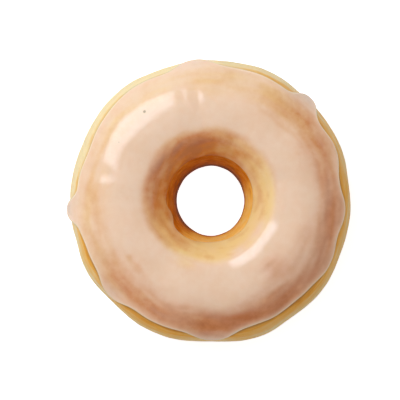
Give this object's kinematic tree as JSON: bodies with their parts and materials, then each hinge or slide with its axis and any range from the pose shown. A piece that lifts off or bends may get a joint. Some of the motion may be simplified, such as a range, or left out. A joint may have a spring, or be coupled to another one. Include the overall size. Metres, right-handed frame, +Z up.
{
  "type": "ring doughnut",
  "caption": "Raised ring doughnut lying flat, its top half dipped in pale translucent icing that has run down the outer wall and a little way into the hole.",
  "frame": {"origin": "under the middle of the outline, on the surface that the doughnut rests on", "axes": "+Z up along the hole; +X and +Y across the ring, with the narrow run of icing at -X"},
  "size_m": [0.0926, 0.0922, 0.0344],
  "materials": {
    "crust": "soft golden-brown fried crust, paler round the waist",
    "icing": "set sugar icing, glossy, pale pinkish cream and a little see-through"
  },
  "bodies": {
    "root": {"dough": "crust", "icing": "icing"}
  },
  "joints": []
}
